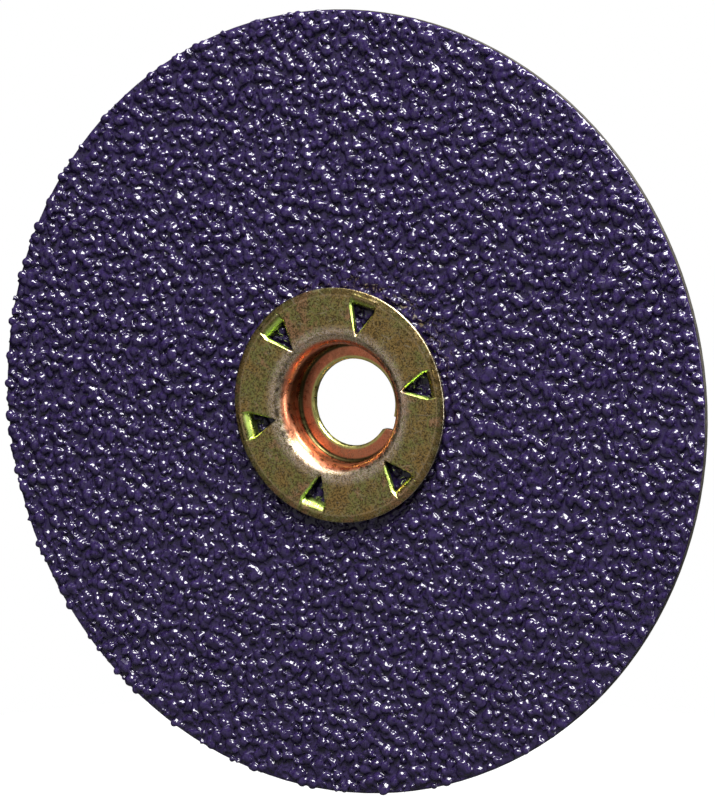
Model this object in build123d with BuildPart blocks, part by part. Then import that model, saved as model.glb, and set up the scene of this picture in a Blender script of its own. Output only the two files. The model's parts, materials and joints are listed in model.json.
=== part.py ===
"""Quick-change coarse fibre disc for an angle grinder.

A round sheet of vulcanised fibre carries coarse ceramic grain between two coats of resin.
A hub stamped from one piece of sheet steel sits in its centre hole. Six triangular prongs
are lanced out of the hub's flange, bent back through the disc and clinched behind it. The
hub's neck ends in a lip that is pressed into one turn of thread, which screws straight onto
the grinder's spindle.

The origin is on the spindle axis, in the plane of the disc's back face, where the backing
pad bears. The spin axis is Y, the abrasive faces -Y and +Z is up. Sizes are in millimetres.
"""

import os
from math import cos, radians, sin

from build123d import *
from build123d.topology import SkipClean

INCH = 25.4
EPS = 0.01  # how far a prong's strip runs into the flange that it joins

# The disc, from its back face forwards
disc_d = 5 * INCH
arbor_hole_d = 22.23
fibre_t = 0.85
make_coat_t = 0.15
grain_layer_t = 0.75
size_coat_t = 0.20
coat_edge_setback = 0.30
coat_hole_setback = 0.45

# The ring behind the hub that the clinching tool presses thinner
pressed_margin = 0.6
pressed_depth = 0.12

# The hub's sheet steel
sheet_t = 1.1
flange_d = 1.5 * INCH
rim_width = 1.1
rim_drop = 0.25
crease_r = 2.5
neck_clearance = 0.30
bell_r = 2.5
neck_behind_disc = 0.45

# The lip: one turn of 5/8-11 thread, right hand
threads_per_inch = 11
thread_minor_d = 14.0
lip_depth = 4.35
lip_turn = 350
lip_start_angle = -27
lip_thinning = 0.05
lip_fillet_r = 0.7
lip_nose_r = 0.35
lip_trim = 0.02
lip_faces = 6

# The windows, and the prongs that are bent out of them
prong_count = 6
first_prong_angle = 14.4
window_into_bell = 0.4
root_margin = 0.1
window_root_w = 4.1
window_corner_r = 0.22
bend_inner_r = 0.35
prong_tip_w = 0.3
clinch_gap = 0.02
slot_clearance = 0.08

# Planes along the axis
fibre_front = -fibre_t
make_front = fibre_front - make_coat_t
grain_front = make_front - grain_layer_t
size_front = grain_front - size_coat_t
flange_back = size_front - rim_drop
flange_front = flange_back - sheet_t
clinch_plane = clinch_gap - pressed_depth
lip_front = flange_front + lip_depth

# Radii
disc_r = disc_d / 2
hole_r = arbor_hole_d / 2
flange_r = flange_d / 2
neck_outer_r = hole_r - neck_clearance
neck_inner_r = neck_outer_r - sheet_t
pressed_r = flange_r + pressed_margin
bend_outer_r = bend_inner_r + sheet_t
bend_start_r = flange_r - rim_width - root_margin
window_root_r = bend_start_r - bend_outer_r
window_tip_r = neck_inner_r + bell_r - window_into_bell
thread_r = thread_minor_d / 2
thread_pitch = INCH / threads_per_inch
lip_rise = thread_pitch * lip_turn / 360
arc_turn = radians(360 / lip_faces)
thread_arc_end = (thread_r * cos(arc_turn), thread_r * sin(arc_turn))

# A prong keeps the window's own length of sheet, measured along the middle of the sheet
bend_length = radians(90) * (bend_inner_r + sheet_t / 2)
leg_top = flange_front + bend_outer_r
leg_length = clinch_plane - bend_inner_r - leg_top
triangle_length = window_root_r - window_tip_r
clinch_length = triangle_length - leg_length - bend_length
prong_slope = window_root_w / triangle_length
clinch_root_w = prong_slope * clinch_length


def axial_plane(angle):
    """The plane that holds the spin axis at an angle from +X towards +Z: radius, then Y."""
    turn = radians(angle)
    return Plane((0, 0, 0), x_dir=(cos(turn), 0, sin(turn)), z_dir=(-sin(turn), 0, cos(turn)))


def facing_plane(y):
    """The plane across the spin axis at Y, seen from in front: X, then Z."""
    return Plane.XZ.offset(-y)


# --- Nut hub, one stamping ---

# The threaded lip is a section of sheet carried once round a helix. It is a little thinner
# than the neck that it is drawn from, and it is cut off inside the neck's wall.
lip_outer_r = neck_outer_r - lip_thinning
lip_inner_r = neck_inner_r + lip_thinning
lip_edge_r = thread_r - lip_trim
lip_back = lip_front + sheet_t
lip_plane = axial_plane(lip_start_angle)
# a helix starts at +Z, which is 90 degrees from +X
lip_path = Rot(Y=90 - lip_start_angle) * Helix(
    pitch=thread_pitch, height=lip_rise, radius=neck_inner_r, direction=(0, 1, 0)
)

with BuildPart() as threaded_lip:
    with BuildSketch(lip_plane) as lip_section:
        with BuildLine():
            Polyline(
                (lip_inner_r, flange_front),
                (lip_inner_r, lip_front),
                (lip_edge_r, lip_front),
                (lip_edge_r, lip_back),
                (lip_outer_r, lip_back),
                (lip_outer_r, flange_front),
                close=True,
            )
        make_face()
        corners = lip_section.vertices()
        fillet(corners.sort_by_distance((lip_inner_r, lip_front))[0], lip_fillet_r)
        fillet(corners.sort_by_distance((lip_edge_r, lip_front))[0], lip_nose_r)
        fillet(corners.sort_by_distance((lip_outer_r, lip_back))[0], lip_fillet_r + sheet_t)
    sweep(path=lip_path, is_frenet=True)
    split(bisect_by=facing_plane(flange_front + bell_r), keep=Keep.BOTTOM)

with BuildPart() as crest_cut:
    with BuildSketch(Plane(lip_plane.origin, lip_plane.x_dir, (0, -1, 0))):
        with BuildLine():
            Polyline((thread_r, 0), (0, 0), thread_arc_end)
            RadiusArc(thread_arc_end, (thread_r, 0), thread_r)
        make_face()
    extrude(amount=lip_back + thread_pitch, both=True)

# A prong is a strip of the flange's sheet, bent back through the disc and then turned in
# behind it. Two masks taper the strip as the window's triangle tapers.
prong_plane = axial_plane(first_prong_angle)
prong_half_w = window_root_w / 2
clinch_back = clinch_plane + sheet_t
heel_half_w = prong_half_w - prong_slope / 2 * (clinch_back - leg_top)
toe_root_r = window_root_r - bend_inner_r
toe_r = toe_root_r - clinch_length

with BuildPart() as prong:
    with BuildSketch(prong_plane):
        with BuildLine():
            FilletPolyline(
                (toe_r, clinch_plane),
                (window_root_r, clinch_plane),
                (window_root_r, flange_front),
                (bend_start_r + EPS, flange_front),
                (bend_start_r + EPS, flange_front + sheet_t),
                (window_root_r + sheet_t, flange_front + sheet_t),
                (window_root_r + sheet_t, clinch_back),
                (toe_r, clinch_back),
                radius=[0, bend_inner_r, bend_outer_r, 0, 0, bend_inner_r, bend_outer_r, 0],
                close=True,
            )
        make_face()
    extrude(amount=prong_half_w, both=True)
    with BuildSketch(prong_plane.rotated((0, 90, 0))):
        Polygon(
            (-prong_half_w, flange_front),
            (prong_half_w, flange_front),
            (prong_half_w, leg_top),
            (heel_half_w, clinch_back),
            (-heel_half_w, clinch_back),
            (-prong_half_w, leg_top),
            align=None,
        )
    extrude(amount=flange_r, mode=Mode.INTERSECT)
    with BuildSketch(Plane(prong_plane.origin, prong_plane.x_dir, (0, -1, 0))):
        Polygon(
            (toe_r, -prong_tip_w / 2),
            (toe_root_r, -clinch_root_w / 2),
            (window_root_r, -prong_half_w),
            (flange_r, -prong_half_w),
            (flange_r, prong_half_w),
            (window_root_r, prong_half_w),
            (toe_root_r, clinch_root_w / 2),
            (toe_r, prong_tip_w / 2),
            align=None,
        )
    extrude(amount=disc_r, both=True, mode=Mode.INTERSECT)

# The flange, bell mouth and neck follow one line along the front of the sheet.
with BuildPart() as nut_hub:
    with BuildSketch(Plane.XY):
        with BuildLine():
            FilletPolyline(
                (flange_r, flange_front + rim_drop),
                (flange_r - rim_width, flange_front),
                (neck_inner_r, flange_front),
                (neck_inner_r, neck_behind_disc),
                radius=[crease_r, bell_r],
            )
            offset(amount=sheet_t, side=Side.RIGHT)
        make_face()
    revolve(axis=Axis.Y)
    add(threaded_lip.part)

    with BuildSketch(facing_plane(flange_front)):
        with PolarLocations(0, prong_count, start_angle=first_prong_angle):
            Polygon(
                (window_tip_r, 0),
                (window_root_r, -prong_half_w),
                (bend_start_r, -prong_half_w),
                (bend_start_r, prong_half_w),
                (window_root_r, prong_half_w),
                align=None,
            )
        fillet(vertices().sort_by_distance((0, 0, 0))[:prong_count], window_corner_r)
    extrude(amount=-sheet_t - bell_r, mode=Mode.SUBTRACT)

    for turn in range(prong_count):
        add(prong.part.rotate(Axis.Y, 360 / prong_count * turn))

    # The thread's crest is a true cylinder, cut in equal arcs that stay separate faces.
    with SkipClean():
        for arc in range(lip_faces):
            cut = crest_cut.part.rotate(Axis.Y, 360 / lip_faces * arc)
            add(cut, mode=Mode.SUBTRACT)
nut_hub.part.label = "nut_hub"

# --- Disc: fibre and coats, from the back forwards ---

with BuildSketch(facing_plane(flange_front)) as prong_slots:
    with PolarLocations(0, prong_count, start_angle=first_prong_angle):
        with Locations((toe_root_r, 0)):
            Rectangle(
                bend_start_r + slot_clearance - toe_root_r,
                window_root_w + 2 * slot_clearance,
                align=(Align.MIN, Align.CENTER),
            )

with BuildPart() as fibre_backing:
    with BuildSketch(facing_plane(fibre_front)):
        Circle(disc_r)
        Circle(hole_r, mode=Mode.SUBTRACT)
    extrude(amount=-fibre_t)
    with BuildSketch(facing_plane(-pressed_depth)):
        Circle(pressed_r)
    extrude(amount=-fibre_t, mode=Mode.SUBTRACT)
    extrude(prong_slots.sketch, amount=flange_front, mode=Mode.SUBTRACT)
fibre_backing.part.label = "fibre_backing"


def coat(front, thickness):
    """A ring of one coat, which stops a little short of the disc's edge and of its hole."""
    with BuildPart() as ring:
        with BuildSketch(facing_plane(front)):
            Circle(disc_r - coat_edge_setback)
            Circle(hole_r + coat_hole_setback, mode=Mode.SUBTRACT)
        extrude(amount=-thickness)
        extrude(prong_slots.sketch, amount=flange_front, mode=Mode.SUBTRACT)
    return ring.part


make_coat = coat(make_front, make_coat_t)
make_coat.label = "make_coat"
grain_layer = coat(grain_front, grain_layer_t)
grain_layer.label = "grain_layer"
size_coat = coat(size_front, size_coat_t)
size_coat.label = "size_coat"

os.makedirs("parts", exist_ok=True)
for piece in (nut_hub.part, fibre_backing.part, make_coat, grain_layer, size_coat):
    export_step(piece, f"parts/{piece.label}.step")
    print(piece.label, len(piece.solids()), round(piece.volume, 1), piece.is_valid)
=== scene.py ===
# %% [markdown]
# # A quick-change coarse fibre disc
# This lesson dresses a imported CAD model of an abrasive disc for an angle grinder. The CAD
# gives the frame: every size and place comes from its nodes. Blender adds what CAD leaves
# plain, which is thousands of resin-coated grains, a stamped and plated hub, and their
# finishes. The disc stands upright, its abrasive faces -Y, and +Z is up.

# %% Load the frame
import json
import math

import bpy
import numpy as np
from mathutils import Matrix, Vector


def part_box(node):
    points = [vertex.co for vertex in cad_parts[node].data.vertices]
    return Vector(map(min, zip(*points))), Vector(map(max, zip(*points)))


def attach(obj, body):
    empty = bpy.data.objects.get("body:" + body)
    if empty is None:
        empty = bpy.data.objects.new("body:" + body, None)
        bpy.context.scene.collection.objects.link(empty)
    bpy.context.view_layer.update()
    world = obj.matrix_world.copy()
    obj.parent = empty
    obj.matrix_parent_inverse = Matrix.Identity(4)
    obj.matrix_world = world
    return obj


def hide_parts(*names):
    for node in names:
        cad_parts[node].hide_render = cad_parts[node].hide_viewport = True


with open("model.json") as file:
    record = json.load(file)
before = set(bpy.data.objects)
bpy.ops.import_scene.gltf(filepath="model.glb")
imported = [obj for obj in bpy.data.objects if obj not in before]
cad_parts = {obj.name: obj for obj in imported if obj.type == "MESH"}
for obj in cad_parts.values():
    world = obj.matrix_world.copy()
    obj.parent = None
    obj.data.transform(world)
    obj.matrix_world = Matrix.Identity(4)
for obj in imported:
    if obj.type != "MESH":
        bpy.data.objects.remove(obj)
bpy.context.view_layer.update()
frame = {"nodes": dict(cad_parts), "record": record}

MM = 0.001

# %% [markdown]
# ## Sizes
# The CAD nodes say where the fibre ends, how high the coats stand and how wide the hub is.
# Reading them here keeps every new piece in step with the CAD model.

# %% Read the sizes
fibre_low, fibre_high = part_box("fibre_backing")
coat_low, coat_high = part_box("size_coat")
hub_low, hub_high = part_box("nut_hub")
disc_r, coat_r, flange_r = fibre_high.x, coat_high.x, hub_high.x
fibre_front, coat_front, flange_front = fibre_low.y, coat_low.y, hub_low.y
mounts = {mount["name"]: mount for mount in frame["record"]["mounts"]}
thread_r = mounts["spindle_thread"]["dims"]["r_mm"] * MM
print("radii", disc_r, coat_r, flange_r, "thread", thread_r)

# %% [markdown]
# ## Helpers for modelling by hand
# Most operators act on what is selected, so each step first clears the selection. Points
# are then picked in code by where they are, as a hand would click them.

# %% Helpers for selecting and finishing
def alone(piece):
    """Select this piece and nothing else."""
    bpy.ops.object.select_all(action="DESELECT")
    piece.select_set(True)
    bpy.context.view_layer.objects.active = piece


def edit(piece, pick=None, mode="VERT"):
    """Open a piece for editing with everything selected, or only the points that pick names."""
    alone(piece)
    bpy.ops.object.mode_set(mode="EDIT")
    bpy.ops.mesh.select_mode(type=mode)
    bpy.ops.mesh.select_all(action="SELECT" if pick is None else "DESELECT")
    if pick is not None:
        bpy.ops.object.mode_set(mode="OBJECT")
        for point in piece.data.vertices:
            point.select = bool(pick(point.co))
        bpy.ops.object.mode_set(mode="EDIT")


def done():
    bpy.ops.object.mode_set(mode="OBJECT")


def modify(piece, kind, **settings):
    """Add a modifier, set it and apply it."""
    alone(piece)
    modifier = piece.modifiers.new(kind.title(), kind)
    for name, value in settings.items():
        setattr(modifier, name, value)
    bpy.ops.object.modifier_apply(modifier=modifier.name)


def settle(piece):
    """Put a piece's place into its mesh, so that its object sits at the origin."""
    alone(piece)
    bpy.ops.object.transform_apply(location=True, rotation=True, scale=True)


def join(pieces, name):
    """Join pieces into the first of them."""
    bpy.ops.object.select_all(action="DESELECT")
    for piece in pieces:
        piece.select_set(True)
    bpy.context.view_layer.objects.active = pieces[0]
    if len(pieces) > 1:
        bpy.ops.object.join()
    pieces[0].name = name
    return pieces[0]


# %% [markdown]
# ## Grains
# A coarse disc carries hard grains that the resin has rounded off. Four sharp grains and one
# domed pebble are modelled here. Each starts as a primitive and is roughened, and the flat
# ones are bevelled too. Each keeps to a few dozen faces, because thousands are laid.

# %% Model the five grains
grain_size = 1.0 * MM


def finish_grain(name, seed, rough, bevel):
    """Roughen, bevel and triangulate the grain that was just added."""
    grain = bpy.context.object
    grain.name = name
    settle(grain)
    edit(grain)
    if rough:
        bpy.ops.transform.vertex_random(offset=rough * grain_size, seed=seed)
    if bevel:
        bpy.ops.mesh.bevel(offset=bevel * grain_size, segments=1, affect="EDGES")
    bpy.ops.mesh.quads_convert_to_tris()
    done()
    return grain


bpy.ops.mesh.primitive_cylinder_add(
    vertices=3, radius=0.82 * grain_size, depth=0.42 * grain_size
)
plate = finish_grain("plate", 1, 0.05, 0.09)
bpy.ops.mesh.primitive_cone_add(
    vertices=3, radius1=0.86 * grain_size, radius2=0.52 * grain_size, depth=0.5 * grain_size
)
wedge = finish_grain("wedge", 2, 0.04, 0.08)
bpy.ops.mesh.primitive_ico_sphere_add(
    subdivisions=1, radius=0.72 * grain_size, scale=(1.0, 0.8, 0.62)
)
crushed = finish_grain("crushed", 3, 0.16, 0)
bpy.ops.mesh.primitive_cylinder_add(
    vertices=4, radius=0.8 * grain_size, depth=0.5 * grain_size
)
chip = finish_grain("chip", 4, 0.2, 0.08)
bpy.ops.mesh.primitive_ico_sphere_add(
    subdivisions=2, radius=0.95 * grain_size, scale=(1.0, 0.94, 0.58)
)
pebble = finish_grain("pebble", 5, 0.03, 0)
grains = [plate, wedge, crushed, chip, pebble]
print("faces per grain", [len(grain.data.polygons) for grain in grains])

# %% [markdown]
# ## Laying the grain
# Grain is thrown onto wet resin by an electric field, so it lands close packed but in no
# order. Three layers are laid: a coarse one, mostly pebbles that lie nearly flat, then a
# medium and a fine one that fill in between. A shuffled honeycomb gives even cover without
# rows. Every turn, tilt and size comes from one seeded generator, so each run is alike.

# %% Throw the grain
rng = np.random.default_rng(20)
bed_inner_r = 11.7 * MM
bed_outer_r = disc_r - 0.12 * MM  # the last grain centres
slab_r = disc_r - 0.08 * MM
reach_r = disc_r + 0.25 * MM  # how far a grain may stand past the fibre's edge
resin_front = fibre_front - 0.25 * MM
pebble_share = 7  # extra pebbles for each one of every kind


def scatter(spacing, shuffle):
    """Shuffled honeycomb points over the coated ring, as X and Z."""
    reach = int(disc_r / spacing * 1.2) + 2
    rows, cols = np.mgrid[-reach : reach + 1, -reach : reach + 1]
    x = (cols + 0.5 * (rows % 2)) * spacing
    z = rows * spacing * math.sqrt(3) / 2
    points = np.stack([x.ravel(), z.ravel()], -1)
    points += rng.uniform(-shuffle, shuffle, points.shape) * spacing
    r = np.hypot(points[:, 0], points[:, 1])
    return points[(r > bed_inner_r) & (r < bed_outer_r)]


def turns(count, flat_share, flat_tilt, steep_tilt):
    """Rotations that lay most grains nearly flat and stand the others up."""
    spin = rng.uniform(0, 2 * math.pi, count)
    lean = rng.uniform(0, 2 * math.pi, count)
    tilt = np.where(
        rng.random(count) < flat_share,
        np.abs(rng.normal(0, flat_tilt, count)),
        rng.uniform(flat_tilt, steep_tilt, count),
    )

    def about(axis, angle):
        c, s, o, i = np.cos(angle), np.sin(angle), np.zeros(count), np.ones(count)
        rows = {"z": [[c, -s, o], [s, c, o], [o, o, i]], "x": [[i, o, o], [o, c, -s], [o, s, c]]}
        return np.moveaxis(np.array(rows[axis]), 2, 0)

    front = np.array([[1, 0, 0], [0, 0, -1], [0, 1, 0]])
    return front @ about("z", lean) @ about("x", tilt) @ about("z", spin)


def lay(points, kinds, low_size, high_size, low_lift, high_lift, **tilts):
    """Copies of the grains at these points, as one array of corners and one of triangles."""
    count = len(points)
    rotation = turns(count, **tilts)
    size = rng.uniform(low_size, high_size, count)
    stretch = rng.uniform(0.8, 1.2, (count, 3))
    lift = rng.uniform(low_lift, high_lift, count)
    kind = rng.integers(0, len(kinds), count)
    laid = []
    for number, grain in enumerate(kinds):
        co = np.array([v.co for v in grain.data.vertices])
        tris = np.array([f.vertices for f in grain.data.polygons])
        for i in np.flatnonzero(kind == number):
            body = (co * stretch[i] * size[i]) @ rotation[i].T
            place = np.array([points[i, 0], resin_front - lift[i], points[i, 1]])
            laid.append((body + place, tris))
    return laid


coarse = lay(
    scatter(2.0 * MM, 0.36), [*grains, *[pebble] * pebble_share],
    0.72, 1.08, 0.12 * MM, 0.46 * MM,
    flat_share=0.75, flat_tilt=0.2, steep_tilt=0.9,
)
medium = lay(
    scatter(1.45 * MM, 0.5), [crushed, chip, wedge, pebble, pebble],
    0.38, 0.66, 0.05 * MM, 0.36 * MM,
    flat_share=0.5, flat_tilt=0.3, steep_tilt=1.2,
)
fine = lay(
    scatter(1.1 * MM, 0.5), [crushed, chip, plate], 0.22, 0.42, 0.0, 0.28 * MM,
    flat_share=0.3, flat_tilt=0.5, steep_tilt=1.5,
)
print("grains laid", len(coarse), "coarse", len(medium), "medium", len(fine), "fine")

# %% [markdown]
# ## Fusing grain and resin
# On the real disc two coats of resin run down between the grains and round them off. A
# voxel remesh does the same: it fuses a slab of resin and the grains on it into one skin,
# and a light smoothing lets the skin sag into the valleys. The ring is made in twelve
# wedges, so that no mesh grows too large. Each wedge is made a little too wide, so that
# neighbours match, and is then cut off square and closed.

# %% Make one wedge of the coated bed
wedge_count = 12
wedge_margin = math.radians(6)
slab_steps = 24
voxel = 0.178 * MM
tallest = coat_front - 0.2 * MM
bed_back = fibre_front + 0.002 * MM


def seated(body):
    """Push a grain down and in until it stands no higher or further out than it may."""
    x, y, z = body.mean(0)
    r = math.hypot(x, z)
    limit = tallest
    if r < flange_r + 0.9 * MM:
        limit = coat_front + 0.02 * MM
    inward = max(0, np.hypot(body[:, 0], body[:, 2]).max() - reach_r) / r
    return body + [-x * inward, max(0, limit - body[:, 1].min()), -z * inward]


laid = [(seated(body), tris) for body, tris in coarse + medium + fine]
bearing = np.array([math.atan2(body[:, 2].mean(), body[:, 0].mean()) for body, _ in laid])


def resin_slab(start, sweep):
    """The resin between the grains: a square section spun round the axis."""
    bpy.ops.mesh.primitive_plane_add(size=1)
    slab = bpy.context.object
    depth = 0.5 * MM
    slab.scale = (slab_r - bed_inner_r, depth + fibre_front - resin_front, 1)
    slab.location = ((slab_r + bed_inner_r) / 2, (fibre_front + depth + resin_front) / 2, 0)
    settle(slab)
    slab.data.transform(Matrix.Rotation(-start, 4, "Y"))
    edit(slab)
    bpy.ops.mesh.spin(steps=slab_steps, angle=sweep, center=(0, 0, 0), axis=(0, 1, 0))
    bpy.ops.mesh.select_all(action="DESELECT")
    bpy.ops.mesh.select_mode(type="EDGE")
    bpy.ops.mesh.select_non_manifold()
    bpy.ops.mesh.edge_face_add()
    bpy.ops.mesh.select_all(action="SELECT")
    bpy.ops.mesh.normals_make_consistent(inside=False)
    done()
    return slab


def bed_wedge(number):
    sweep = 2 * math.pi / wedge_count
    start = number * sweep
    slab = resin_slab(start - wedge_margin, sweep + 2 * wedge_margin)
    off = (bearing - start - sweep / 2 + math.pi) % (2 * math.pi) - math.pi
    near = [laid[i] for i in np.flatnonzero(np.abs(off) < sweep / 2 + wedge_margin * 0.8)]
    first = np.cumsum([0] + [len(body) for body, _ in near[:-1]])
    mesh = bpy.data.meshes.new("grain_bed")
    mesh.from_pydata(
        np.concatenate([body for body, _ in near]), [],
        np.concatenate([tris + base for (_, tris), base in zip(near, first)]),
    )
    heap = bpy.data.objects.new("heap", mesh)
    bpy.context.scene.collection.objects.link(heap)
    bed = join([slab, heap], f"grain_bed_{number + 1}")
    modify(bed, "REMESH", mode="VOXEL", voxel_size=voxel)
    modify(bed, "SMOOTH", factor=0.5, iterations=2)
    edit(bed)
    for angle, side in ((start, 1), (start + sweep, -1)):
        bpy.ops.mesh.select_all(action="SELECT")
        bpy.ops.mesh.bisect(
            plane_co=(0, 0, 0), plane_no=(-math.sin(angle) * side, 0, math.cos(angle) * side),
            use_fill=True, clear_inner=True, threshold=1e-8,
        )
    bpy.ops.mesh.select_all(action="SELECT")
    bpy.ops.mesh.bisect(
        plane_co=(0, bed_back, 0), plane_no=(0, 1, 0),
        use_fill=True, clear_outer=True, threshold=1e-8,
    )
    done()
    alone(bed)
    bpy.ops.object.shade_smooth_by_angle(angle=math.radians(70))
    return bed


beds = [bed_wedge(number) for number in range(wedge_count)]
for grain in grains:
    bpy.data.objects.remove(grain)
print("bed triangles", [sum(len(f.vertices) - 2 for f in bed.data.polygons) for bed in beds])

# %% [markdown]
# ## Hub body
# The hub is pressed from one sheet, so it is drawn as one line along the front of the
# sheet: rim, flange, bell mouth, neck. Rounding two of its corners gives the bends, a spin
# turns the line into a shell, and Solidify gives the sheet its thickness behind it.

# %% Draw and spin the hub
sheet = 1.1 * MM
rim_width, rim_drop = 1.1 * MM, 0.25 * MM
bell_r = 2.5 * MM
neck_outer_r = 10.815 * MM
neck_inner_r = neck_outer_r - sheet
neck_back = 0.45 * MM
round_steps = 360


def sheet_line(name, corners, roundings):
    """A line through corners (radius, y), with the named corners rounded."""
    mesh = bpy.data.meshes.new(name)
    mesh.from_pydata(
        [(r, y, 0) for r, y in corners], [(i, i + 1) for i in range(len(corners) - 1)], []
    )
    line = bpy.data.objects.new(name, mesh)
    bpy.context.scene.collection.objects.link(line)
    for (r, y), amount, steps in roundings:
        edit(line, lambda co: (co - Vector((r, y, 0))).length < 1e-6)
        bpy.ops.mesh.bevel(offset=amount, segments=steps, affect="VERTICES")
        done()
    return line


hub = sheet_line(
    "hub",
    [
        (flange_r, flange_front + rim_drop),
        (flange_r - rim_width, flange_front),
        (neck_inner_r, flange_front),
        (neck_inner_r, neck_back),
    ],
    [
        ((flange_r - rim_width, flange_front), 0.3 * MM, 6),
        ((neck_inner_r, flange_front), bell_r, 24),
    ],
)
edit(hub)
bpy.ops.mesh.spin(steps=round_steps, angle=2 * math.pi, center=(0, 0, 0), axis=(0, 1, 0))
bpy.ops.mesh.select_all(action="SELECT")
bpy.ops.mesh.remove_doubles(threshold=1e-7)
bpy.ops.mesh.normals_make_consistent(inside=False)
done()
flat = max(hub.data.polygons, key=lambda face: abs(face.normal.y))
if flat.normal.y > 0:
    edit(hub)
    bpy.ops.mesh.flip_normals()
    done()
modify(hub, "SOLIDIFY", thickness=sheet, offset=-1, use_even_offset=True)
print("hub body", len(hub.data.polygons), [tuple(c) for c in hub.bound_box][0::6])

# %% [markdown]
# ## Windows
# Six triangles are lanced through the flange. One cutter is drawn as a flat outline, copied
# round the axis, and taken away from the hub with a boolean. It is pushed forwards in two
# steps and is wider at the front, because a lanced edge rolls over where the punch enters.

# %% Cut the windows
prong_count, first_prong = 6, math.radians(14.4)
window_tip_r, window_root_r, bend_start_r = 11.815 * MM, 16.4 * MM, 18.1 * MM
window_half_w = 2.05 * MM


def round_the_axis(piece, name):
    """Copies of a piece at the six prongs' bearings, joined into one."""
    copies = []
    for turn in range(prong_count):
        copy = piece.copy()
        copy.data = piece.data.copy()
        bpy.context.scene.collection.objects.link(copy)
        angle = first_prong + turn * 2 * math.pi / prong_count
        copy.data.transform(Matrix.Rotation(-angle, 4, "Y"))
        copies.append(copy)
    bpy.data.objects.remove(piece)
    return join(copies, name)


roll = 0.32 * MM
bpy.ops.mesh.primitive_circle_add(vertices=5, radius=MM, fill_type="NGON")
cutter = bpy.context.object
outline = [
    (window_tip_r, 0), (window_root_r, -window_half_w), (bend_start_r, -window_half_w),
    (bend_start_r, window_half_w), (window_root_r, window_half_w),
]
for point, (r, across) in zip(cutter.data.vertices, outline):
    point.co = (r, flange_front + sheet + bell_r, across)
edit(cutter)
for back in (sheet + bell_r - roll, roll + MM):
    bpy.ops.mesh.extrude_region_move(TRANSFORM_OT_translate={"value": (0, -back, 0)})
bpy.ops.mesh.select_all(action="SELECT")
bpy.ops.mesh.normals_make_consistent(inside=False)
done()
for point in cutter.data.vertices:
    if point.co.y < flange_front:
        point.co.z += math.copysign(roll + MM, point.co.z) if abs(point.co.z) > MM else 0
        point.co.x -= (roll + MM) * (1.6 if point.co.x < window_root_r - MM else 0.3)
edit(cutter, lambda co: math.hypot(co.x, co.z) < window_tip_r + 1e-6)
bpy.ops.mesh.bevel(offset=0.22 * MM, segments=4, affect="EDGES")
done()
windows = round_the_axis(cutter, "windows")
modify(hub, "BOOLEAN", operation="DIFFERENCE", object=windows, solver="EXACT")
bpy.data.objects.remove(windows)
print("hub with windows", len(hub.data.polygons))

# %% [markdown]
# ## Prongs
# The sheet from each window isn't lost: it is bent straight back through the disc and
# turned in behind it, so that the hub can't turn or pull out. A prong is a line with two
# bends, extruded sideways, tapered as the window tapers, and given the sheet's thickness.

# %% Bend the prongs
clinch_y = -0.10 * MM
bend_inner_r = 0.35 * MM
bend_outer_r = bend_start_r - window_root_r
toe_r, toe_half_w, heel_half_w = 14.35 * MM, 0.15 * MM, 1.05 * MM
prong = sheet_line(
    "prong",
    [
        (bend_start_r + 0.12 * MM, flange_front),
        (window_root_r, flange_front),
        (window_root_r, clinch_y),
        (toe_r, clinch_y),
    ],
    [
        ((window_root_r, flange_front), bend_outer_r, 12),
        ((window_root_r, clinch_y), bend_inner_r, 6),
    ],
)
edit(prong)
bpy.ops.transform.translate(value=(0, 0, -window_half_w))
bpy.ops.mesh.select_all(action="SELECT")
bpy.ops.mesh.extrude_region_move(TRANSFORM_OT_translate={"value": (0, 0, 2 * window_half_w)})
bpy.ops.mesh.select_all(action="SELECT")
bpy.ops.mesh.normals_make_consistent(inside=False)
done()
for point in prong.data.vertices:
    leg_top = flange_front + bend_outer_r
    down = min(1, max(0, (point.co.y - leg_top) / (clinch_y - leg_top)))
    inward = min(1, max(0, (window_root_r - point.co.x) / (window_root_r - toe_r)))
    width = window_half_w + (heel_half_w * 1.55 - window_half_w) * down
    point.co.z *= (width + (toe_half_w - width) * inward) / window_half_w
top = max(prong.data.polygons, key=lambda face: face.center.x)
if top.normal.y > 0:
    edit(prong)
    bpy.ops.mesh.flip_normals()
    done()
modify(prong, "SOLIDIFY", thickness=sheet, offset=-1, use_even_offset=True)
prongs = round_the_axis(prong, "prongs")
print("prongs", len(prongs.data.polygons))

# %% [markdown]
# ## Threaded lip
# Behind the neck the sheet is turned in to a narrow lip, and the lip climbs one pitch in
# one turn, so its edge is a single turn of thread. Its section is drawn with its bends
# rounded, and the Screw modifier carries it round and back together. The tip is then
# drawn out towards the wall, which rounds the sheet's cut end.

# %% Screw the lip
lip_front = 1.05 * MM
lip_back = lip_front + sheet
pitch = 25.4 / 11 * MM
lip_turn = math.radians(350)
lip_start = math.radians(-27)
wall_in, wall_out = neck_inner_r + 0.05 * MM, neck_outer_r - 0.05 * MM
lip_root_y = flange_front + 0.1 * MM
lip = sheet_line(
    "lip",
    [
        (wall_out, lip_root_y), (wall_in, lip_root_y), (wall_in, lip_front),
        (thread_r, lip_front), (thread_r, lip_back), (wall_out, lip_back),
        (wall_out, lip_root_y),
    ],
    [
        ((wall_in, lip_front), 0.7 * MM, 10),
        ((thread_r, lip_front), 0.38 * MM, 8),
        ((wall_out, lip_back), 1.8 * MM, 12),
    ],
)
edit(lip)
bpy.ops.mesh.remove_doubles(threshold=1e-7)
done()
modify(
    lip, "SCREW", axis="Y", angle=lip_turn, screw_offset=pitch * lip_turn / (2 * math.pi),
    steps=round_steps, render_steps=round_steps, use_merge_vertices=False,
)
tip_turn = math.radians(9)
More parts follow.
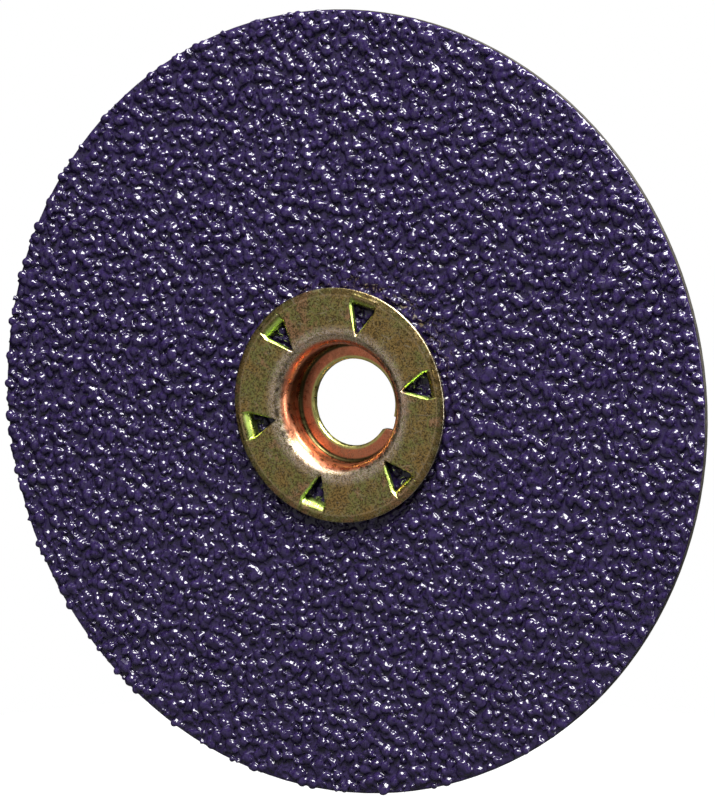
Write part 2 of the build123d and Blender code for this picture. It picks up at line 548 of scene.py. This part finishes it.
for point in lip.data.vertices:
    turned = -math.atan2(point.co.z, point.co.x)
    r = math.hypot(point.co.x, point.co.z)
    if 0 <= turned < tip_turn and r < wall_in and point.co.y < lip_back + pitch / 4:
        short = 1 - math.sqrt(1 - (1 - turned / tip_turn) ** 2)
        longer = 1 + (wall_in - r) / r * short
        point.co.x *= longer
        point.co.z *= longer
edit(lip)
bpy.ops.mesh.select_all(action="DESELECT")
bpy.ops.mesh.select_non_manifold()
bpy.ops.mesh.edge_face_add()
bpy.ops.mesh.select_all(action="SELECT")
bpy.ops.mesh.normals_make_consistent(inside=False)
bpy.ops.mesh.bisect(
    plane_co=(0, flange_front + bell_r, 0), plane_no=(0, 1, 0),
    use_fill=True, clear_inner=True, threshold=1e-8,
)
done()
lip.data.transform(Matrix.Rotation(-lip_start, 4, "Y"))
print("lip", len(lip.data.polygons), [tuple(c) for c in lip.bound_box][0::6])

# %% [markdown]
# ## One stamping
# The parts of the hub are one sheet of steel, so they are fused by a fine remesh. Smoothing
# it rolls the sheared edges over, as a punch does, and Decimate thins the flat parts.

# %% Fuse the hub
hub = join([hub, prongs, lip], "stamped_hub")
modify(hub, "REMESH", mode="VOXEL", voxel_size=0.1 * MM)
modify(hub, "SMOOTH", factor=0.5, iterations=6)
hub_faces = sum(len(face.vertices) - 2 for face in hub.data.polygons)
modify(hub, "DECIMATE", ratio=min(1, 180000 / hub_faces))
alone(hub)
bpy.ops.object.shade_smooth_by_angle(angle=math.radians(60))
print("hub triangles", hub_faces, "then", len(hub.data.polygons))

# %% Stand the pieces in for the CAD
for bed in beds:
    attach(bed, "root")
    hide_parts("make_coat", "grain_layer", "size_coat")
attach(hub, "root")
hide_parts("nut_hub")

# %% [markdown]
# ## Finishes
# Every pattern is procedural and reads Object coordinates, so it stays put on the piece.
# Effects that more than one finish needs, such as mottling and fine scratches, are built
# once as node groups and placed in each material with their own values.

# %% Helpers for nodes
def add(tree, kind, inputs=None, **settings):
    """A node with its settings, and with its inputs linked or given values."""
    node = tree.nodes.new("ShaderNode" + kind)
    for name, value in settings.items():
        setattr(node, name, value)
    for socket, value in (inputs or {}).items():
        if isinstance(value, bpy.types.NodeSocket):
            tree.links.new(value, node.inputs[socket])
        else:
            node.inputs[socket].default_value = value
    return node


def new_group(name, takes, gives):
    """An empty shader group with named sockets."""
    tree = bpy.data.node_groups.new(name, "ShaderNodeTree")
    for label, kind, value in takes:
        socket = tree.interface.new_socket(label, in_out="INPUT", socket_type=kind)
        if value is not None:
            socket.default_value = value
    for label, kind in gives:
        tree.interface.new_socket(label, in_out="OUTPUT", socket_type=kind)
    return tree, tree.nodes.new("NodeGroupInput"), tree.nodes.new("NodeGroupOutput")


def place(tree, group, **values):
    """Put a group into a material."""
    node = tree.nodes.new("ShaderNodeGroup")
    node.node_tree = group
    for label, value in values.items():
        socket = node.inputs[label.replace("_", " ")]
        if isinstance(value, bpy.types.NodeSocket):
            tree.links.new(value, socket)
        else:
            socket.default_value = value
    return node


def ramp(tree, value, stops):
    """A colour ramp through (position, colour) stops."""
    node = add(tree, "ValToRGB", {"Fac": value})
    elements = node.color_ramp.elements
    while len(elements) < len(stops):
        elements.new(0.5)
    for element, (position, color) in zip(elements, stops):
        element.position = position
        element.color = (*color, 1) if len(color) == 3 else color
    return node.outputs["Color"]


def mix(tree, factor, a, b, blend="MIX"):
    """Two colours mixed."""
    node = add(tree, "Mix", data_type="RGBA", blend_type=blend)
    for socket, value in ((0, factor), (6, a), (7, b)):
        if isinstance(value, bpy.types.NodeSocket):
            tree.links.new(value, node.inputs[socket])
        else:
            node.inputs[socket].default_value = value if socket == 0 else (*value, 1)
    return node.outputs[2]


def math_node(tree, operation, a, b=0.0, c=0.0, clamp=False):
    """One sum."""
    node = add(tree, "Math", {0: a, 1: b, 2: c}, operation=operation, use_clamp=clamp)
    return node.outputs[0]


def remap(tree, value, low, high, to_low=0.0, to_high=1.0):
    """A value carried smoothly from one range to another."""
    node = add(
        tree, "MapRange",
        {"Value": value, "From Min": low, "From Max": high, "To Min": to_low, "To Max": to_high},
        interpolation_type="SMOOTHSTEP",
    )
    return node.outputs[0]


def new_material(name):
    """A material with its Principled shader, and the object's own coordinates."""
    material = bpy.data.materials.new(name)
    material.use_nodes = True
    tree = material.node_tree
    shader = tree.nodes["Principled BSDF"]
    return material, tree, shader, add(tree, "TexCoord").outputs["Object"]


# %% Group: mottling
mottle, given, gives = new_group(
    "mottle",
    [("Vector", "NodeSocketVector", None), ("Size", "NodeSocketFloat", 1000.0)],
    [("Broad", "NodeSocketFloat"), ("Fine", "NodeSocketFloat")],
)
broad = add(
    mottle, "TexNoise",
    {
        "Vector": given.outputs["Vector"], "Scale": given.outputs["Size"],
        "Detail": 4.0, "Roughness": 0.6,
    },
)
finer = math_node(mottle, "MULTIPLY", given.outputs["Size"], 7.0)
fine_noise = add(
    mottle, "TexNoise",
    {"Vector": given.outputs["Vector"], "Scale": finer, "Detail": 3.0, "Roughness": 0.65},
)
mottle.links.new(remap(mottle, broad.outputs[0], 0.35, 0.65), gives.inputs["Broad"])
mottle.links.new(remap(mottle, fine_noise.outputs[0], 0.35, 0.65), gives.inputs["Fine"])

# %% Group: fine scratches
scratches, given, gives = new_group(
    "fine_scratches",
    [("Vector", "NodeSocketVector", None), ("Size", "NodeSocketFloat", 1.0)],
    [("Mask", "NodeSocketFloat")],
)
marks = None
for turn, seed in ((0.3, 0.0), (1.2, 3.1), (2.0, 7.7), (2.7, 5.2)):
    warp = add(
        scratches, "TexNoise",
        {"Vector": given.outputs["Vector"], "Scale": 130.0, "Detail": 1.0},
    )
    bent = add(
        scratches, "VectorMath",
        {0: warp.outputs["Color"], 1: (0.006, 0.006, 0.006)}, operation="MULTIPLY",
    )
    moved = add(
        scratches, "VectorMath", {0: given.outputs["Vector"], 1: bent.outputs[0]}, operation="ADD"
    )
    turned = add(
        scratches, "Mapping",
        {"Vector": moved.outputs[0], "Location": (seed, seed, seed), "Rotation": (0, turn, 0)},
    )
    squeezed = add(
        scratches, "VectorMath",
        {0: turned.outputs[0], 1: (420.0, 1500.0, 9000.0)}, operation="MULTIPLY",
    )
    streaks = add(
        scratches, "TexNoise", {"Vector": squeezed.outputs[0], "Scale": 1.0, "Detail": 0.0}
    )
    line = remap(scratches, streaks.outputs[0], 0.72, 0.80)
    marks = line if marks is None else math_node(scratches, "MAXIMUM", marks, line)
scratches.links.new(marks, gives.inputs["Mask"])

# %% [markdown]
# ## Coated grain
# The size coat is a glossy dark violet resin, so the grain shows mostly by its highlights.
# The colour shifts a little from grain to grain, and a fine ripple breaks the gloss up.

# %% Coated grain finish
grain_finish, tree, shader, where = new_material("coated_grain")
spots = place(tree, mottle, Vector=where, Size=700.0)
violet = mix(tree, spots.outputs["Broad"], (0.0050, 0.0024, 0.0138), (0.0113, 0.0062, 0.0300))
flecks = math_node(tree, "MULTIPLY", spots.outputs["Fine"], 0.35)
violet = mix(tree, flecks, violet, (0.031, 0.021, 0.070))
ripple = add(tree, "TexNoise", {"Vector": where, "Scale": 3200.0, "Detail": 3.0, "Roughness": 0.6})
bump = add(
    tree, "Bump", {"Height": ripple.outputs[0], "Strength": 0.35, "Distance": 0.03 * MM}
)
tree.links.new(violet, shader.inputs["Base Color"])
tree.links.new(remap(tree, spots.outputs["Fine"], 0, 1, 0.08, 0.14), shader.inputs["Roughness"])
tree.links.new(bump.outputs[0], shader.inputs["Normal"])
shader.inputs["Specular IOR Level"].default_value = 0.4
for bed in beds:
    bed.data.materials.clear()
    bed.data.materials.append(grain_finish)

# %% [markdown]
# ## Yellow chromate
# The hub is zinc plated and yellow chromated. The film is thinnest where the sheet was
# drawn into the neck, which shows copper, and thickest at the sheared edges, which show
# lime green. So the colour is set by where a point is on the hub and which way it faces.
# Some of it is painted light: painted shade in the neck's fillet and on the sloped rim,
# painted highlights along the rim's crease and edge, a pale ring at the bell mouth that is
# partly wear and partly painted highlight, and lime kept to the edges that face the right,
# which makes it partly a painted highlight.

# %% Chromated steel finish
steel_finish, tree, shader, where = new_material("chromated_steel")
axes = add(tree, "SeparateXYZ", {"Vector": where})
facing = add(tree, "SeparateXYZ", {"Vector": add(tree, "NewGeometry").outputs["Normal"]})
squares = math_node(
    tree, "MULTIPLY_ADD", axes.outputs["X"], axes.outputs["X"],
    math_node(tree, "MULTIPLY", axes.outputs["Z"], axes.outputs["Z"]),
)
radius = math_node(tree, "SQRT", squares)
level = math_node(tree, "ABSOLUTE", facing.outputs["Y"])
spots = place(tree, mottle, Vector=where, Size=230.0)
grit = place(tree, mottle, Vector=where, Size=900.0)
speckle = add(tree, "TexNoise", {"Vector": where, "Scale": 5000.0, "Detail": 1.0})
gold = ramp(
    tree, spots.outputs["Broad"],
    [
        (0.0, (0.38, 0.24, 0.08)), (0.4, (0.35, 0.265, 0.095)),
        (0.7, (0.27, 0.28, 0.085)), (1.0, (0.44, 0.24, 0.125)),
    ],
)
gold = mix(tree, remap(tree, speckle.outputs[0], 0.44, 0.62), gold, (0.095, 0.064, 0.026))
# Pale ring at the bell mouth: partly wear, partly painted highlight, as its pale colour stands in
# for the bright reflection the bell mouth catches.
worn_and_sheen = math_node(
    tree, "MULTIPLY", remap(tree, radius, 13.4 * MM, 11.9 * MM),
    remap(tree, grit.outputs["Fine"], 0.2, 0.9),
)
gold = mix(tree, math_node(tree, "MULTIPLY", worn_and_sheen, 0.85), gold, (0.78, 0.62, 0.52))
in_neck = remap(tree, radius, 10.95 * MM, 10.35 * MM)
copper = mix(tree, spots.outputs["Broad"], (0.60, 0.19, 0.10), (0.47, 0.19, 0.10))
copper = mix(tree, remap(tree, speckle.outputs[0], 0.45, 0.8), copper, (0.36, 0.11, 0.055))
color = mix(tree, in_neck, gold, copper)
# Painted shade: a dark olive band in the fillet between the neck wall and the lip ledge, where the
# neck shades the recess.
fillet_painted_shade = math_node(
    tree, "MULTIPLY", remap(tree, radius, 9.80 * MM, 9.66 * MM),
    remap(tree, radius, 8.9 * MM, 9.25 * MM),
)
color = mix(tree, fillet_painted_shade, color, (0.045, 0.036, 0.014))
at_crest = remap(tree, radius, thread_r + 0.75 * MM, thread_r + 0.35 * MM)
color = mix(tree, at_crest, color, (0.50, 0.47, 0.16))
# Lime green at the sheared edges is the film's own colour, but it is kept to edges that face +X,
# the lit right side, which makes it partly a painted highlight.
sheared = remap(tree, level, 0.995, 0.80)
outside = remap(tree, radius, 12.4 * MM, 12.9 * MM)
inside_rim = remap(tree, radius, 18.35 * MM, 18.05 * MM)
lime_and_glint = math_node(tree, "MULTIPLY", sheared, math_node(tree, "MULTIPLY", outside, inside_rim))
lime_and_glint = math_node(tree, "MULTIPLY", lime_and_glint, remap(tree, facing.outputs["X"], -0.35, 0.12))
color = mix(tree, lime_and_glint, color, (0.55, 0.74, 0.16))
# Painted light on the rim: a darker band on the sloped rim is painted shade, and a light line
# along the crease and a pale line at the very edge are painted highlights.
rim_painted_shade = remap(tree, radius, 17.95 * MM, 18.1 * MM)
color = mix(tree, math_node(tree, "MULTIPLY", rim_painted_shade, 0.35), color, (0.09, 0.06, 0.025))
crease_painted_highlight = math_node(
    tree, "MULTIPLY", remap(tree, radius, 17.72 * MM, 17.85 * MM),
    remap(tree, radius, 18.02 * MM, 17.9 * MM),
)
color = mix(tree, math_node(tree, "MULTIPLY", crease_painted_highlight, 0.45), color, (0.46, 0.33, 0.20))
rim_edge_painted_highlight = remap(tree, radius, 18.93 * MM, 19.02 * MM)
color = mix(tree, rim_edge_painted_highlight, color, (0.45, 0.40, 0.29))
marks = place(tree, scratches, Vector=where)
on_flange = remap(tree, radius, 12.4 * MM, 13.2 * MM)
scored = math_node(tree, "MULTIPLY", marks.outputs["Mask"], on_flange)
color = mix(tree, math_node(tree, "MULTIPLY", scored, 0.35), color, (0.6, 0.52, 0.4))
tree.links.new(color, shader.inputs["Base Color"])
shader.inputs["Metallic"].default_value = 1.0
tree.links.new(
    remap(tree, grit.outputs["Broad"], 0, 1, 0.24, 0.38), shader.inputs["Roughness"]
)
grain_of_sheet = math_node(tree, "MULTIPLY", grit.outputs["Fine"], on_flange)
relief = math_node(
    tree, "SUBTRACT", math_node(tree, "MULTIPLY", grain_of_sheet, 0.4), scored
)
bump = add(tree, "Bump", {"Height": relief, "Strength": 0.35, "Distance": 0.02 * MM})
tree.links.new(bump.outputs[0], shader.inputs["Normal"])
hub.data.materials.clear()
hub.data.materials.append(steel_finish)

# %% [markdown]
# ## Vulcanised fibre
# The backing is cotton paper turned to a hard horn-like sheet. It is dull and nearly black,
# with a faint felt of fibres, and it stays as the CAD node, because its shape is right.

# %% Fibre finish
fibre_finish, tree, shader, where = new_material("vulcanised_fibre")
spots = place(tree, mottle, Vector=where, Size=350.0)
marks = place(tree, scratches, Vector=where)
color = mix(tree, spots.outputs["Broad"], (0.012, 0.011, 0.0095), (0.024, 0.022, 0.018))
felt = math_node(tree, "MULTIPLY", spots.outputs["Fine"], 0.4)
color = mix(tree, felt, color, (0.036, 0.033, 0.027))
rubbed = math_node(tree, "MULTIPLY", marks.outputs["Mask"], 0.25)
color = mix(tree, rubbed, color, (0.08, 0.075, 0.065))
tree.links.new(color, shader.inputs["Base Color"])
tree.links.new(remap(tree, spots.outputs["Fine"], 0, 1, 0.6, 0.8), shader.inputs["Roughness"])
shader.inputs["Specular IOR Level"].default_value = 0.08
bump = add(
    tree, "Bump", {"Height": spots.outputs["Fine"], "Strength": 0.4, "Distance": 0.03 * MM}
)
tree.links.new(bump.outputs[0], shader.inputs["Normal"])
fibre = frame["nodes"]["fibre_backing"]
fibre.data.materials.clear()
fibre.data.materials.append(fibre_finish)

# %% [markdown]
# ## Floor, lights and camera
# The floor is small and nearly black, and it glows white to the camera only. It looks pale,
# but it throws no light up, which would lie as a grey haze on glossy grain. The price is
# that the disc casts no shadow on it. The world is bright to the camera only as well.
# Five softboxes light the disc. A long narrow key, high on the right, makes the highlights
# on the grain. Three weak ones lift the right, the sky side and the front, and a faint card
# at the left is what the flat flange mirrors.

# %% Floor
bpy.ops.mesh.primitive_circle_add(
    vertices=96, radius=0.1, fill_type="NGON", location=(0, 0, -disc_r - 1.5 * MM)
)
floor = bpy.context.object
floor.name = "floor"
floor_finish, tree, shader, _ = new_material("pale_floor")
shader.inputs["Base Color"].default_value = (0.04, 0.04, 0.04, 1)
shader.inputs["Roughness"].default_value = 0.9
shader.inputs["Emission Color"].default_value = (1, 1, 1, 1)
tree.links.new(add(tree, "LightPath").outputs["Is Camera Ray"], shader.inputs["Emission Strength"])
floor.data.materials.append(floor_finish)

# %% Camera
view_azimuth, view_elevation, view_distance = math.radians(27.608), math.radians(6.484), 0.82
back = Vector((
    math.sin(view_azimuth) * math.cos(view_elevation),
    -math.cos(view_azimuth) * math.cos(view_elevation),
    math.sin(view_elevation),
))
target = Vector((2.48 * MM, -1.0 * MM, 0.81 * MM))
camera_data = bpy.data.cameras.new("camera")
camera_data.lens, camera_data.sensor_width = 229.2, 36
camera_data.clip_start, camera_data.clip_end = 0.01, 50
camera = bpy.data.objects.new("camera", camera_data)
bpy.context.scene.collection.objects.link(camera)
camera.location = target + back * view_distance
camera.rotation_euler = back.to_track_quat("Z", "Y").to_euler()
bpy.context.scene.camera = camera

# %% Lights
right = Vector((math.cos(view_azimuth), math.sin(view_azimuth), 0))
above = back.cross(right)


def softbox(name, sideways, upwards, forwards, wide, tall, watts):
    """A softbox that looks at the disc, placed as seen from the camera."""
    light = bpy.data.lights.new(name, "AREA")
    light.shape, light.size, light.size_y, light.energy = "RECTANGLE", wide, tall, watts
    box = bpy.data.objects.new(name, light)
    box.visible_camera = False
    bpy.context.scene.collection.objects.link(box)
    box.location = right * sideways + above * upwards + back * forwards
    box.rotation_euler = box.location.to_track_quat("Z", "Y").to_euler()
    return box


softbox("key", 0.26, 0.74, 0.36, 1.5, 0.38, 74.0)
softbox("side", 0.80, 0.02, 0.50, 0.3, 0.6, 7.0)
softbox("sky", -0.25, 0.70, 0.62, 1.2, 0.5, 5.0)
softbox("front", 0.25, -0.05, 0.95, 0.5, 0.5, 0.5)
softbox("card", -0.74, -0.10, 0.50, 0.9, 0.9, 1.15)
world = bpy.data.worlds.new("studio")
bpy.context.scene.world = world
world.use_nodes = True
tree = world.node_tree
seen = add(tree, "LightPath").outputs["Is Camera Ray"]
strength = remap(tree, seen, 0, 1, 0.03, 1.0)
tree.nodes["Background"].inputs["Color"].default_value = (1, 1, 1, 1)
tree.links.new(strength, tree.nodes["Background"].inputs["Strength"])
bpy.context.scene.view_settings.view_transform = "Standard"
